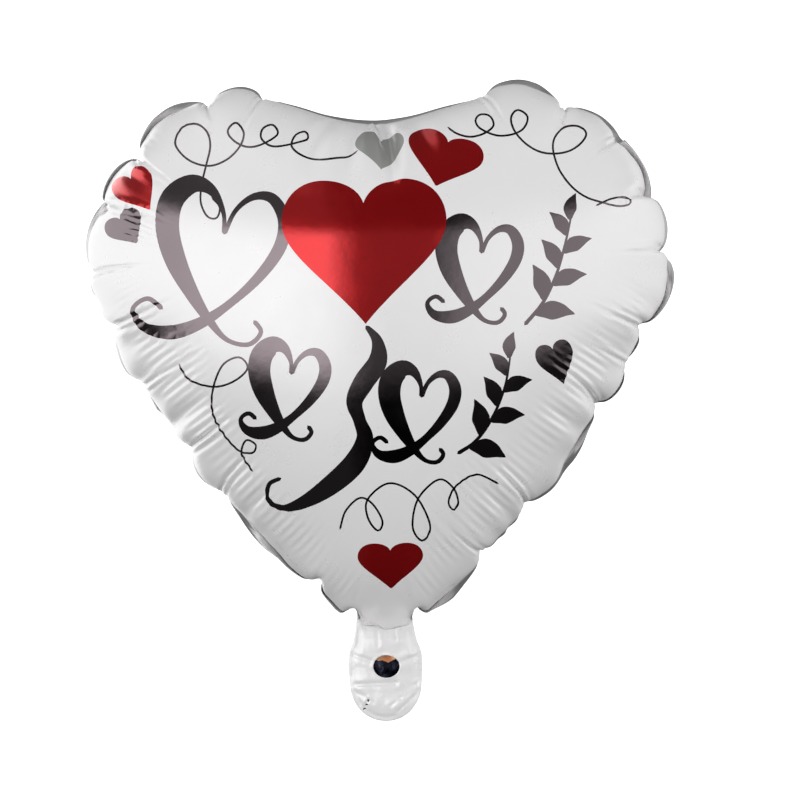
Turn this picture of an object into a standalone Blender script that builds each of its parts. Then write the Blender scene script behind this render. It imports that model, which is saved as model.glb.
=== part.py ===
"""Heart-shaped foil balloon, filled, with its flat inflation tail.

Units are metres and +Z is up. The origin is the tie point, the middle of the crease where the tail leaves the
body. The front faces -Y. The gas body is two film panels welded round a flat margin. The tail is two film
sheets welded down both sides and round its end, and it folds at the crease. Two valve films lie in the neck.
"""

import math

import bmesh
import bpy
import numpy as np
from mathutils import Vector

# Films
FILM = 0.00035              # thickness each film is modelled at
GAP = 0.0003                # clearance kept between two pieces that touch on the real object
WELD_THICKNESS = 0.0003     # the fused layer between two films
WELD_FACE = WELD_THICKNESS / 2 + GAP
WELD_EDGE_INSET = 0.0004    # the weld stops short of the films' cut edge
NECK_WELD_STOP = 0.002      # and of the neck's opening
TAIL_WELD_STOP = 0.001

# Gas body, filled
HALF_WIDTH = 0.1855         # to the edge of the welded margin
WIDEST_Z = 0.226
LOBE_X = 0.094
LOBE_TOP_Z = 0.346
CLEFT_Z = 0.329
NECK_HALF_WIDTH = 0.019
SHOULDER = (0.032, 0.014)   # where the straight lower side meets the short neck
BODY_BOTTOM_Z = 0.001
PUFF = 0.0975               # height of each panel over the weld at the middle of the heart
HEART_MIDDLE_Z = 0.215
WELD_MARGIN = 0.005
NECK_LAND = 0.003           # flat film next to the crease
CLEFT_DIP = 0.30            # how much lower the film lies towards the cleft
TIP_DIP = 0.20              # the same towards the neck
NECK_TAPER = 0.35           # extra taper of the film towards the neck
NECK_SPREAD = math.radians(75)
CLEFT_SPREAD = math.radians(35)
OUTLINE_POINTS = 76
BODY_RINGS = (0.975, 0.92, 0.83, 0.70, 0.52, 0.28)

# Tail
TAIL_TOP_Z = -0.001
TAIL_END_Z = -0.057
TAIL_HALF_WIDTH = 0.023
TAIL_TOP_HALF_WIDTH = 0.0175
TAIL_WIDEST_Z = -0.020
TAIL_SEAM = 0.004
TAIL_PUFF = 0.0022          # how far each tail sheet stands off the seam
HOLE_RADIUS = 0.0085
HOLE_Z = -0.0227
TAIL_POINTS = 48
TAIL_RINGS = ((0.82, 0.70), (0.62, 1.0), (0.3, 1.0))   # part of the way from hole to seam, and rise there

# Valve
VALVE_HINGE_Z = 0.008
VALVE_TOP_Z = 0.060
VALVE_HALF_WIDTH = 0.011
VALVE_FILM = 0.00015
COAT_THICKNESS = 0.0001
COAT_END_MARGIN = 0.006
COAT_SIDE_MARGIN = 0.003
VALVE_ROWS = 10

COLOURS = {
    "front_panel": ((0.83, 0.82, 0.84), 0.35, 0.34),
    "back_panel": ((0.80, 0.80, 0.82), 0.45, 0.34),
    "perimeter_seal": ((0.42, 0.42, 0.44), 0.85, 0.30),
    "tail_front_sheet": ((0.74, 0.74, 0.76), 0.30, 0.42),
    "tail_back_sheet": ((0.70, 0.70, 0.72), 0.45, 0.42),
    "tail_seal": ((0.55, 0.55, 0.57), 0.60, 0.40),
    "valve_front_film": ((0.72, 0.73, 0.75), 0.10, 0.30),
    "valve_back_film": ((0.72, 0.73, 0.75), 0.10, 0.30),
    "valve_release_coat": ((0.10, 0.10, 0.14), 0.0, 0.60),
}


def clear_objects():
    for item in list(bpy.data.objects):
        bpy.data.objects.remove(item)


def film_material(name):
    colour, metallic, roughness = COLOURS[name]
    material = bpy.data.materials.new(name)
    material.use_nodes = True
    shader = material.node_tree.nodes["Principled BSDF"]
    shader.inputs["Base Color"].default_value = (*colour, 1.0)
    shader.inputs["Metallic"].default_value = metallic
    shader.inputs["Roughness"].default_value = roughness
    return material


def add_object(name, vertices, faces, parent=None):
    """Makes one node; a parent is an empty on the node's joint axis."""
    mesh = bpy.data.meshes.new(name)
    origin = parent.location if parent else Vector((0, 0, 0))
    mesh.from_pydata([Vector(v) - origin for v in vertices], [], faces)
    mesh.update()
    mesh.materials.append(film_material(name))
    mesh.shade_smooth()
    item = bpy.data.objects.new(name, mesh)
    bpy.context.scene.collection.objects.link(item)
    item.parent = parent
    return item


def joint_empty(name, z):
    item = bpy.data.objects.new(name, None)
    item.location = (0, 0, z)
    bpy.context.scene.collection.objects.link(item)
    return item


def face_outwards(item):
    """Turns every face of a closed mesh to point out."""
    work = bmesh.new()
    work.from_mesh(item.data)
    bmesh.ops.recalc_face_normals(work, faces=work.faces)
    if work.calc_volume(signed=True) < 0:
        bmesh.ops.reverse_faces(work, faces=work.faces)
    work.to_mesh(item.data)
    work.free()


def curve(start, start_pull, end_pull, end, count=60):
    """Points along one Bezier span, without its last point."""
    t = np.linspace(0, 1, count, endpoint=False)[:, None]
    start, start_pull, end_pull, end = (np.array(p) for p in (start, start_pull, end_pull, end))
    return ((1 - t) ** 3 * start + 3 * (1 - t) ** 2 * t * start_pull
            + 3 * (1 - t) * t ** 2 * end_pull + t ** 3 * end)


def evenly(points, count):
    """The same open line with count points at equal steps."""
    steps = np.hypot(*np.diff(points, axis=0).T)
    along = np.concatenate([[0], np.cumsum(steps)])
    wanted = np.linspace(0, along[-1], count)
    return np.stack([np.interp(wanted, along, points[:, 0]), np.interp(wanted, along, points[:, 1])], axis=1)


def both_halves(half):
    """Closes a right-hand half outline, given from the top middle down, with its mirror image."""
    left = half[::-1] * (-1, 1)
    keep_from = 1 if abs(half[-1][0]) < 1e-9 else 0
    return np.concatenate([half, left[keep_from:-1]])


def heart_outline():
    """The margin's outer edge, clockwise from the cleft, and the number of points on its right half."""
    cleft = (0.0, CLEFT_Z)
    lobe = (LOBE_X, LOBE_TOP_Z)
    side = (HALF_WIDTH, WIDEST_Z)
    neck = (NECK_HALF_WIDTH, BODY_BOTTOM_Z)
    spans = [
        curve(cleft, (0.022, CLEFT_Z + 0.009), (0.050, LOBE_TOP_Z), lobe),
        curve(lobe, (0.148, LOBE_TOP_Z), (HALF_WIDTH, 0.292), side),
        curve(side, (HALF_WIDTH, 0.162), (0.119, 0.091), SHOULDER),
        curve(SHOULDER, (0.024, 0.008), (NECK_HALF_WIDTH, 0.006), neck),
        [neck],
    ]
    half = evenly(np.concatenate(spans), OUTLINE_POINTS // 2)
    return both_halves(half), len(half)


def tail_outline():
    """The tail's edge, clockwise from the top middle."""
    top = (TAIL_TOP_HALF_WIDTH, TAIL_TOP_Z)
    side = (TAIL_HALF_WIDTH, TAIL_WIDEST_Z)
    spans = [
        curve((0.0, TAIL_TOP_Z), (0.006, TAIL_TOP_Z), (0.012, TAIL_TOP_Z), top, 20),
        curve(top, (TAIL_TOP_HALF_WIDTH, -0.009), (TAIL_HALF_WIDTH, -0.012), side),
        curve(side, (TAIL_HALF_WIDTH, -0.043), (0.017, TAIL_END_Z), (0.0, TAIL_END_Z)),
        [(0.0, TAIL_END_Z)],
    ]
    half = evenly(np.concatenate(spans), TAIL_POINTS // 2 + 1)
    return both_halves(half)


def inset(outline, distances):
    """Moves each point of a clockwise outline inwards by its own distance."""
    along = np.roll(outline, -1, axis=0) - np.roll(outline, 1, axis=0)
    inward = np.stack([along[:, 1], -along[:, 0]], axis=1)
    inward /= np.linalg.norm(inward, axis=1)[:, None]
    return outline + inward * np.asarray(distances)[:, None]


def bump(angle, centre, spread):
    """1 at the centre angle, falling smoothly to 0 at spread away from it."""
    away = np.abs((angle - centre + math.pi) % (2 * math.pi) - math.pi)
    return np.where(away < spread, (1 + np.cos(math.pi * away / spread)) / 2, 0.0)


def panel_height(fraction, angle):
    """Height of the filled panel over the weld, at a fraction of the way from its middle to its edge."""
    cleft = bump(angle, math.pi / 2, CLEFT_SPREAD)
    neck = bump(angle, -math.pi / 2, NECK_SPREAD)
    dome = (1 - fraction ** 3) ** (0.5 + NECK_TAPER * neck)
    return PUFF * dome * (1 - (CLEFT_DIP * cleft + TIP_DIP * neck) * fraction)


def ring_surface(rings, centre=None):
    """Faces that join rings of equal length, and a fan to a centre point if there is one."""
    count = len(rings[0])
    vertices = [tuple(p) for ring in rings for p in ring]
    faces = []
    for row in range(len(rings) - 1):
        for i in range(count):
            j = (i + 1) % count
            faces.append((row * count + i, row * count + j, (row + 1) * count + j, (row + 1) * count + i))
    if centre is not None:
        last = (len(rings) - 1) * count
        vertices.append(tuple(centre))
        faces += [(last + i, last + (i + 1) % count, len(vertices) - 1) for i in range(count)]
    return vertices, faces


def placed(points, heights, side):
    """Flat outline points raised off the weld towards the front (-1) or the back (+1)."""
    y = side * (WELD_FACE + FILM + np.asarray(heights) * np.ones(len(points)))
    return np.stack([points[:, 0], y, points[:, 1]], axis=1)


def shell(name, surface, side, parent=None):
    """A film: the outer surface thickened inwards."""
    item = add_object(name, *surface, parent)
    work = bmesh.new()
    work.from_mesh(item.data)
    bmesh.ops.recalc_face_normals(work, faces=work.faces)
    work.faces.ensure_lookup_table()
    if work.faces[0].normal.y * side < 0:
        bmesh.ops.reverse_faces(work, faces=work.faces)
    work.to_mesh(item.data)
    work.free()
    thickness = item.modifiers.new("film", "SOLIDIFY")
    thickness.thickness = FILM
    thickness.offset = -1
    return item


def body_panel(name, side):
    outline, _ = heart_outline()
    middle = np.array((0.0, HEART_MIDDLE_Z))
    at_crease = outline[:, 1] < BODY_BOTTOM_Z + 1e-6
    weld = inset(outline, np.where(at_crease, NECK_LAND, WELD_MARGIN))
    arm = weld - middle
    angle = np.arctan2(arm[:, 1], arm[:, 0])
    rings = [placed(outline, 0, side), placed(weld, 0, side)]
    for fraction in BODY_RINGS:
        rings.append(placed(middle + arm * fraction, panel_height(fraction, angle), side))
    top = (0.0, side * (WELD_FACE + FILM + PUFF), HEART_MIDDLE_Z)
    return shell(name, ring_surface(rings, top), side)


def band(name, outer, inner, parent=None):
    """The fused layer between two films: an open strip of even thickness."""
    half = WELD_THICKNESS / 2
    count = len(outer)
    vertices = []
    for out_point, in_point in zip(outer, inner):
        for (x, z), y in ((out_point, -half), (in_point, -half), (in_point, half), (out_point, half)):
            vertices.append((x, y, z))
    faces = [(0, 1, 2, 3), tuple(4 * (count - 1) + k for k in (3, 2, 1, 0))]
    for i in range(count - 1):
        for k in range(4):
            m = (k + 1) % 4
            faces.append((4 * i + k, 4 * (i + 1) + k, 4 * (i + 1) + m, 4 * i + m))
    item = add_object(name, vertices, faces, parent)
    face_outwards(item)
    return item


def perimeter_seal():
    """The weld round the heart; it stops either side of the neck, where the gas goes in."""
    outline, half = heart_outline()
    line = np.roll(outline, -half, axis=0)
    line = line[line[:, 1] > BODY_BOTTOM_Z + NECK_WELD_STOP]
    return welded_strip("perimeter_seal", line, WELD_MARGIN)


def welded_strip(name, line, margin, parent=None):
    """A weld layer along an open outline, a little narrower than the films' flat margin."""
    outer = inset_open(line, WELD_EDGE_INSET)
    inner = inset_open(line, margin - 2 * WELD_EDGE_INSET)
    return band(name, outer, inner, parent)


def inset_open(line, distance):
    """Moves an open clockwise line inwards."""
    along = np.gradient(line, axis=0)
    inward = np.stack([along[:, 1], -along[:, 0]], axis=1)
    inward /= np.linalg.norm(inward, axis=1)[:, None]
    return line + inward * distance


def tail_rings(side):
    """Rings of one tail sheet, from its edge in to the hole's rim, and the hole's centre."""
    outline = tail_outline()
    middle = np.array((0.0, HOLE_Z))
    seam = inset(outline, np.full(len(outline), TAIL_SEAM))
    arm = seam - middle
    rim = middle + arm / np.linalg.norm(arm, axis=1)[:, None] * HOLE_RADIUS
    rings = [placed(outline, 0, side), placed(seam, 0, side)]
    for part, rise in TAIL_RINGS:
        rings.append(placed(rim + (seam - rim) * part, TAIL_PUFF * rise, side))
    rings.append(placed(rim, TAIL_PUFF, side))
    return rings, (0.0, side * (WELD_FACE + FILM + TAIL_PUFF), HOLE_Z)


def tail_front_sheet(parent):
    rings, _ = tail_rings(-1)
    return shell("tail_front_sheet", ring_surface(rings), -1, parent)


def tail_back_sheet(parent):
    rings, middle = tail_rings(1)
    return shell("tail_back_sheet", ring_surface(rings, middle), 1, parent)


def tail_seal(parent):
    """The weld down both sides of the tail and round its end; open at the top, towards the neck."""
    outline = tail_outline()
    line = outline[outline[:, 1] < TAIL_TOP_Z - TAIL_WELD_STOP]
    return welded_strip("tail_seal", line, TAIL_SEAM, parent)


def plate(name, half_width, thickness, bottom, top, middle_y, parent):
    """A thin upright film with rounded upper corners."""
    rows = np.linspace(bottom, top, VALVE_ROWS + 1)
    vertices = []
    for z in rows:
        near_top = max(0.0, 1 - (top - z) / half_width)
        width = half_width * math.sqrt(1 - 0.75 * near_top ** 2)
        for x, y in ((-width, -1), (width, -1), (width, 1), (-width, 1)):
            vertices.append((x, middle_y + y * thickness / 2, z))
    faces = [(0, 1, 2, 3), tuple(4 * VALVE_ROWS + k for k in (3, 2, 1, 0))]
    for i in range(VALVE_ROWS):
        for k in range(4):
            m = (k + 1) % 4
            faces.append((4 * i + k, 4 * (i + 1) + k, 4 * (i + 1) + m, 4 * i + m))
    item = add_object(name, vertices, faces, parent)
    face_outwards(item)
    return item


def valve():
    """Two films that lie on each other in the neck, and the heat-proof patch that keeps the weld off them."""
    front = joint_empty("valve_front_axis", VALVE_HINGE_Z)
    back = joint_empty("valve_back_axis", VALVE_HINGE_Z)
    film_y = COAT_THICKNESS / 2 + GAP + VALVE_FILM / 2
    plate("valve_front_film", VALVE_HALF_WIDTH, VALVE_FILM, VALVE_HINGE_Z, VALVE_TOP_Z, -film_y, front)
    plate("valve_back_film", VALVE_HALF_WIDTH, VALVE_FILM, VALVE_HINGE_Z, VALVE_TOP_Z, film_y, back)
    plate("valve_release_coat", VALVE_HALF_WIDTH - COAT_SIDE_MARGIN, COAT_THICKNESS,
          VALVE_HINGE_Z + COAT_END_MARGIN, VALVE_TOP_Z - COAT_END_MARGIN, 0.0, back)


def main():
    clear_objects()
    body_panel("front_panel", -1)
    body_panel("back_panel", 1)
    perimeter_seal()
    tail_axis = joint_empty("tail_axis", 0.0)
    tail_front_sheet(tail_axis)
    tail_back_sheet(tail_axis)
    tail_seal(tail_axis)
    valve()


main()
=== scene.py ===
"""Looks of the heart-shaped foil balloon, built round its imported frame.

The film is laid out flat in millimetres, as it is cut and welded, then filled: a relaxation of the two welded
sheets under pressure gives the lobes and creases round the weld. The printed ornaments are areas of the same
flat film, so they bend with it. Everything is turned into metres as it becomes a Blender mesh.
"""

import math

import bmesh
import bpy
import numpy as np
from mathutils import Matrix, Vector, noise
from mathutils.bvhtree import BVHTree
from mathutils.geometry import delaunay_2d_cdt
from mathutils.kdtree import KDTree


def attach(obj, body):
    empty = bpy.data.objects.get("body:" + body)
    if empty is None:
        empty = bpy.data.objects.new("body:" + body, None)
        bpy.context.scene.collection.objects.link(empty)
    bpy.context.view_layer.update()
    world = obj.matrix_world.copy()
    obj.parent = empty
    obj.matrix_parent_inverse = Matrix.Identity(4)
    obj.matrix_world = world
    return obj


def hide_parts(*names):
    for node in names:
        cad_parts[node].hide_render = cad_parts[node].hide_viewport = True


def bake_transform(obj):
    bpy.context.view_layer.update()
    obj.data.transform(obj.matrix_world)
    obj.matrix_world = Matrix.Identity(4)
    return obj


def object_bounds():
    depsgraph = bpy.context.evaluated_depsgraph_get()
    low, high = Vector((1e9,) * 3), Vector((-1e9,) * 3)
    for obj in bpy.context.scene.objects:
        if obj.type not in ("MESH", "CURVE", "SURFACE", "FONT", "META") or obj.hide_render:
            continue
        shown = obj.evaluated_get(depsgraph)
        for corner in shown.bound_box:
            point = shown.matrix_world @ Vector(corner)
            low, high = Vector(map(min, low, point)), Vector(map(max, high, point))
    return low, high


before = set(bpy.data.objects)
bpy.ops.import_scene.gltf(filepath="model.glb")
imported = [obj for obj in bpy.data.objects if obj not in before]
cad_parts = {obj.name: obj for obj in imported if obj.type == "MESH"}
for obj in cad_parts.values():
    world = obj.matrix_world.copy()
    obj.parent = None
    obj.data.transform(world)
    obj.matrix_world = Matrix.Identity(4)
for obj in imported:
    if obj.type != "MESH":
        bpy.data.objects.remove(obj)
CAD_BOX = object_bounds()
MM = 0.001
TINY = 1e-12

# The flat film, in millimetres from the middle of the neck's crease
CLEFT_Z = 403.0
LOBE = (88.0, 407.0)
SIDE = (222.0, 256.0)
HIP = (160.0, 70.0)
NECK_TOP = (40.0, 9.0)
NECK_HALF_WIDTH = 18.5
MARGIN = 5.0
FILM_MIDDLE_Z = 200.0
FILM_HALF = (230.0, 215.0)
# Filling goes from a coarse film to a fine one: the triangle size, and the number of steps
LEVELS = ((10.0, 1800), (6.0, 1200), (4.0, 600))

# The filling: forces are in units of the film's own stretch stiffness
GAS_PRESSURE = 0.0003
SLACK_STIFFNESS = 0.3
BEND_STIFFNESS = 0.004
DAMPING = 0.01
GATHERED = 0.20
GATHER_REACH = 60.0
TUCK_FILM = 0.3
TUCK_WIDTH = 10.0
TUCK_REACH = 30.0
TUCK_PULL = 0.04
# Gathers and tucks fade out over this height above the neck
NECK_FADE = 40.0
# The film starts as a low dome: its height at the weld, and how it rises with the root of the distance
START_HEIGHT = 4.0
START_RISE = 6.4
START_UNEVEN = 0.05
# The deep tucks: place along the weld clockwise from the cleft, as a part of its length, and strength
TUCKS = ((0.034, 0.4), (0.077, 0.8), (0.133, 1.0), (0.169, 0.6), (0.201, 1.0), (0.251, 1.0), (0.308, 1.0),
         (0.373, 1.0), (0.444, 1.0), (0.562, 1.0), (0.636, 1.0), (0.713, 1.0), (0.790, 0.8), (0.828, 0.8),
         (0.873, 1.0), (0.920, 1.0), (0.956, 0.4))
SEED = 5

# Triangulating: points nearer than the first are one, and triangles under the second (times two) are dropped
SAME_POINT = 1e-5
EMPTY_AREA = 1e-7

# The fine mesh of the finished film
RIM_STEP = 1.25
ROW_DEPTHS = (3, 7, 12, 18, 24, 30, 36, 42, 48, 54, 60, 66, 72, 78, 84, 90, 96)
INNER_STEP = 3.4
PRINT_STEP = 1.5
PRINT_CLEARANCE = 0.7
FINE_STEP = 0.12

rng = np.random.default_rng(SEED)


# -------- flat shapes

def bezier(start, start_pull, end_pull, end, count):
    """Points along one Bezier span, without its last point."""
    t = np.linspace(0, 1, count, endpoint=False)[:, None]
    start, start_pull, end_pull, end = (np.array(p, float) for p in (start, start_pull, end_pull, end))
    return ((1 - t) ** 3 * start + 3 * (1 - t) ** 2 * t * start_pull
            + 3 * (1 - t) * t ** 2 * end_pull + t ** 3 * end)


def flat_outline():
    """The weld's inner edge on the flat film, clockwise from the cleft."""
    cleft = (0.0, CLEFT_Z)
    crease = (NECK_HALF_WIDTH, 0.0)
    spans = [
        bezier(cleft, (20, CLEFT_Z), (LOBE[0] * 0.55, LOBE[1]), LOBE, 200),
        bezier(LOBE, (LOBE[0] + 67, LOBE[1]), (SIDE[0], SIDE[1] + 79), SIDE, 200),
        bezier(SIDE, (SIDE[0], SIDE[1] - 50), HIP, NECK_TOP, 400),
        bezier(NECK_TOP, (NECK_TOP[0] - 4, NECK_TOP[1] - 4), (NECK_HALF_WIDTH, 4), crease, 20),
        [crease],
    ]
    half = np.concatenate(spans)
    return np.concatenate([half, half[:0:-1] * (-1, 1)])


def lengths_along(line):
    """How far along a flat line each of its points is."""
    return np.concatenate([[0], np.cumsum(np.linalg.norm(np.diff(line[:, :2], axis=0), axis=1))])


def read_at(line, along, wanted):
    return np.stack([np.interp(wanted, along, column) for column in line.T], axis=1)


def resampled(loop, step):
    """The same closed line with points at equal steps."""
    closed = np.concatenate([loop, loop[:1]])
    along = lengths_along(closed)
    return read_at(closed, along, np.linspace(0, along[-1], int(round(along[-1] / step)), endpoint=False))


def catmull_rom(p0, p1, p2, p3, t):
    return 0.5 * (2 * p1 + (p2 - p0) * t + (2 * p0 - 5 * p1 + 4 * p2 - p3) * t ** 2
                  + (3 * p1 - p0 - 3 * p2 + p3) * t ** 3)


def unit(vectors):
    return vectors / np.maximum(np.linalg.norm(vectors, axis=1), TINY)[:, None]


def quarter_turned(flat):
    return np.stack([-flat[:, 1], flat[:, 0]], axis=1)


def along_loop(loop):
    """Directions along a closed line, at each of its points."""
    return np.roll(loop, -1, axis=0) - np.roll(loop, 1, axis=0)


def outwards(loop):
    """Unit directions out of a closed clockwise line, at each of its points."""
    return quarter_turned(unit(along_loop(loop)))


def loop_edges(first, count):
    """The edges of a closed line whose points are numbered from first."""
    return [(first + i, first + (i + 1) % count) for i in range(count)]


def cross(u, v):
    return u[:, 0] * v[:, 1] - u[:, 1] * v[:, 0]


def inside(points, loop):
    """Which points lie inside a closed line, by the even-odd rule."""
    x, y = points[:, 0], points[:, 1]
    result = np.zeros(len(points), bool)
    for (x1, y1), (x2, y2) in zip(loop, np.roll(loop, -1, axis=0)):
        if y1 != y2:
            result ^= ((y1 > y) != (y2 > y)) & (x < (x2 - x1) * (y - y1) / (y2 - y1) + x1)
    return result


def tree_of(points):
    tree = KDTree(len(points))
    for i, (x, y) in enumerate(points):
        tree.insert((x, y, 0), i)
    tree.balance()
    return tree


def nearest(points, line):
    """Distance from each point to the closest point of a line, and that point's index."""
    tree = tree_of(line)
    found = [tree.find((x, y, 0)) for x, y in points]
    return np.array([f[2] for f in found]), np.array([f[1] for f in found])


def lattice(low, high, step):
    """Points of a triangular grid over a box."""
    row_height = step * math.sqrt(3) / 2
    rows = []
    for j in range(int((high[1] - low[1]) / row_height) + 1):
        x = np.arange(low[0] + step * 0.5 * (j % 2), high[0], step)
        rows.append(np.stack([x, np.full(len(x), low[1] + j * row_height)], axis=1))
    return np.concatenate(rows)


def triangulated(points, edges):
    """Triangles over the points that keep the given edges, turned to face up in the flat plane."""
    out = delaunay_2d_cdt([Vector(p) for p in points], edges, [], 0, SAME_POINT)
    flat = np.array([tuple(v) for v in out[0]])
    faces = np.array([f for f in out[2] if len(f) == 3])
    a, b, c = (flat[faces[:, k]] for k in range(3))
    area = cross(b - a, c - a)
    real = np.abs(area) > EMPTY_AREA
    return flat, np.where((area > 0)[:, None], faces, faces[:, ::-1])[real]


def tuckedness(index):
    """How much of a tuck there is at each numbered place of the dense outline, from 0 to 1."""
    total = np.zeros(len(index))
    for part, strength in TUCKS:
        away = np.abs(index / len(DENSE_OUTLINE) - part) * len(DENSE_OUTLINE)
        total = np.maximum(total, strength * np.exp(-(away / TUCK_WIDTH) ** 2))
    return total


OUTLINE = flat_outline()
DENSE_OUTLINE = resampled(OUTLINE, 1.0)


# -------- filling the balloon

class Film:
    """The flat film cut into triangles: a front and a back sheet that share the weld line, and the margin."""

    def __init__(self, step):
        ring = resampled(OUTLINE, step)
        grid = lattice(ring.min(axis=0) - 1, ring.max(axis=0) + 1, step)
        grid += rng.uniform(-0.15, 0.15, grid.shape) * step
        grid = grid[inside(grid, ring)]
        grid = grid[nearest(grid, DENSE_OUTLINE)[0] > 0.6 * step]
        count = len(ring)
        sheet, faces = triangulated(np.concatenate([ring, grid]), loop_edges(0, count))
        faces = faces[inside(sheet[faces].mean(axis=1), ring)]
        inner = len(sheet) - count
        back = np.arange(len(sheet))
        back[count:] += inner
        i = np.arange(count)
        j = (i + 1) % count
        edge = i + len(sheet) + inner
        self.ring_count = count
        self.margin_start = len(sheet) + inner
        self.flat = np.concatenate([sheet, sheet[count:], ring + outwards(ring) * MARGIN])
        self.front = faces
        self.back = back[faces][:, ::-1]
        self.margin = np.concatenate([np.stack([i, j, edge[j]], 1), np.stack([i, edge[j], edge[i]], 1)])
        self.side = np.concatenate([np.zeros(count), -np.ones(inner), np.ones(inner), np.zeros(count)])
        self.pinned = [k for k in range(count) if ring[k, 1] < 1 and abs(ring[k, 0]) < 0.5 * NECK_HALF_WIDTH]


def edges_of(film):
    """All edges, the edges with a triangle on both sides, and the far corners of those two triangles."""
    faces = np.concatenate([film.front, film.back, film.margin])
    pairs = np.sort(np.concatenate([faces[:, [0, 1]], faces[:, [1, 2]], faces[:, [2, 0]]]), axis=1)
    far = np.concatenate([faces[:, 2], faces[:, 0], faces[:, 1]])
    count = len(film.flat)
    keys, where, uses = np.unique(pairs[:, 0] * count + pairs[:, 1], return_inverse=True, return_counts=True)
    edges = np.stack([keys // count, keys % count], axis=1)
    order = np.argsort(where, kind="stable")
    first = np.searchsorted(where[order], np.arange(len(keys)))
    shared = uses == 2
    return edges, edges[shared], far[order[first[shared]]], far[order[first[shared] + 1]]


def cotangent(flat, corner, a, b):
    u, v = flat[a] - flat[corner], flat[b] - flat[corner]
    return (u * v).sum(axis=1) / np.maximum(np.abs(cross(u, v)), 1e-6)


def bending(film, edges, left, right):
    """For each hinge between two triangles, its four points and the weights of the bending energy."""
    flat, (a, b) = film.flat, edges.T
    on_weld = edges.max(axis=1) < film.ring_count
    ca0, ca1 = cotangent(flat, a, b, left), cotangent(flat, a, b, right)
    cb0, cb1 = cotangent(flat, b, a, left), cotangent(flat, b, a, right)
    length = np.linalg.norm(flat[b] - flat[a], axis=1)
    height = (np.abs(1 / np.maximum(ca0 + cb0, 1e-3)) + np.abs(1 / np.maximum(ca1 + cb1, 1e-3))) * length
    weights = np.stack([cb0 + cb1, ca0 + ca1, -ca0 - cb0, -ca1 - cb1], axis=1)
    weights *= np.sqrt(6 * BEND_STIFFNESS / (length * height))[:, None]
    points = np.stack([a, b, left, right], axis=1)
    weights[points.max(axis=1) >= film.margin_start] *= 2
    return points[~on_weld], weights[~on_weld]


def rest_lengths(film, edges):
    """Edge lengths of the flat film. Along the weld, gathers take film up and tucks have some to spare."""
    span = film.flat[edges[:, 1]] - film.flat[edges[:, 0]]
    middle = film.flat[edges].mean(axis=1)
    distance, index = nearest(middle, DENSE_OUTLINE)
    along = (span * unit(along_loop(DENSE_OUTLINE))[index]).sum(axis=1)
    taken = GATHERED - (GATHERED + TUCK_FILM) * tuckedness(index)
    taken *= np.clip(1 - distance / GATHER_REACH, 0, 1) * np.clip(middle[:, 1] / NECK_FADE, 0, 1)
    return np.sqrt((span * span).sum(axis=1) - along ** 2 * (1 - (1 - taken) ** 2))


def relaxed(film, shape, steps):
    """Lets the film settle under the gas pressure; speed is dropped whenever the motion starts to slow."""
    edges, hinges, left, right = edges_of(film)
    rest = rest_lengths(film, edges)
    stiff = rest.mean() / rest * np.where(edges.max(axis=1) >= film.margin_start, 2.0, 1.0)
    bend_points, weights = bending(film, hinges, left, right)
    skins = np.concatenate([film.front, film.back])
    count = len(shape)
    reach = np.abs(weights) * np.abs(weights).sum(axis=1)[:, None]
    mass = (np.bincount(edges.ravel(), np.repeat(stiff, 2), count) * 0.75
            + np.bincount(bend_points.ravel(), reach.ravel(), count) * 0.6)[:, None]
    speed = np.zeros_like(shape)
    energy = 0.0
    for _ in range(steps):
        span = shape[edges[:, 1]] - shape[edges[:, 0]]
        length = np.sqrt((span * span).sum(axis=1))
        stretch = length - rest
        pull = span * (np.where(stretch > 0, stiff, stiff * SLACK_STIFFNESS) * stretch / length)[:, None]
        curl = (shape[bend_points] * weights[:, :, None]).sum(axis=1)
        a, b, c = (shape[skins[:, k]] for k in range(3))
        push = np.repeat(np.cross(b - a, c - a) * (GAS_PRESSURE / 6), 3, axis=0)
        both = np.stack([pull, -pull], axis=1).reshape(-1, 3)
        bent = -(curl[:, None, :] * weights[:, :, None]).reshape(-1, 3)
        force = np.stack([np.bincount(edges.ravel(), both[:, k], count)
                          + np.bincount(bend_points.ravel(), bent[:, k], count)
                          + np.bincount(skins.ravel(), push[:, k], count) for k in range(3)], axis=1)
        speed = speed * (1 - DAMPING) + force / mass
        speed[film.pinned] = 0
        moving = float((mass * speed * speed).sum())
        if moving < energy:
            speed[:] = 0
            moving = 0.0
        energy = moving
        shape = shape + speed
    return shape


def barycentric(flat, faces, points):
    """The triangle that each flat point is in, and the point's weights on its corners."""
    tree = BVHTree.FromPolygons([(x, y, 0) for x, y in flat], faces.tolist())
    hit = faces[[tree.find_nearest((x, y, 0))[2] for x, y in points]]
    a, b, c = (flat[hit[:, k]] for k in range(3))
    whole = cross(b - a, c - a)
    v = cross(points - a, c - a) / whole
    w = cross(b - a, points - a) / whole
    return hit, np.stack([1 - v - w, v, w], axis=1)


def carried(film, shape, finer):
    """The shape of a coarse film handed on to a finer one."""
    result = np.zeros((len(finer.flat), 3))
    last = finer.margin_start + finer.ring_count
    sheet_end = finer.ring_count + (finer.margin_start - finer.ring_count) // 2
    for faces, start, end in ((film.front, 0, sheet_end), (film.back, sheet_end, finer.margin_start),
                              (film.margin, finer.margin_start, last)):
        hit, weights = barycentric(film.flat, faces, finer.flat[start:end])
        result[start:end] = (shape[hit] * weights[:, :, None]).sum(axis=1)
    return result + rng.normal(0, START_UNEVEN, result.shape)


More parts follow.
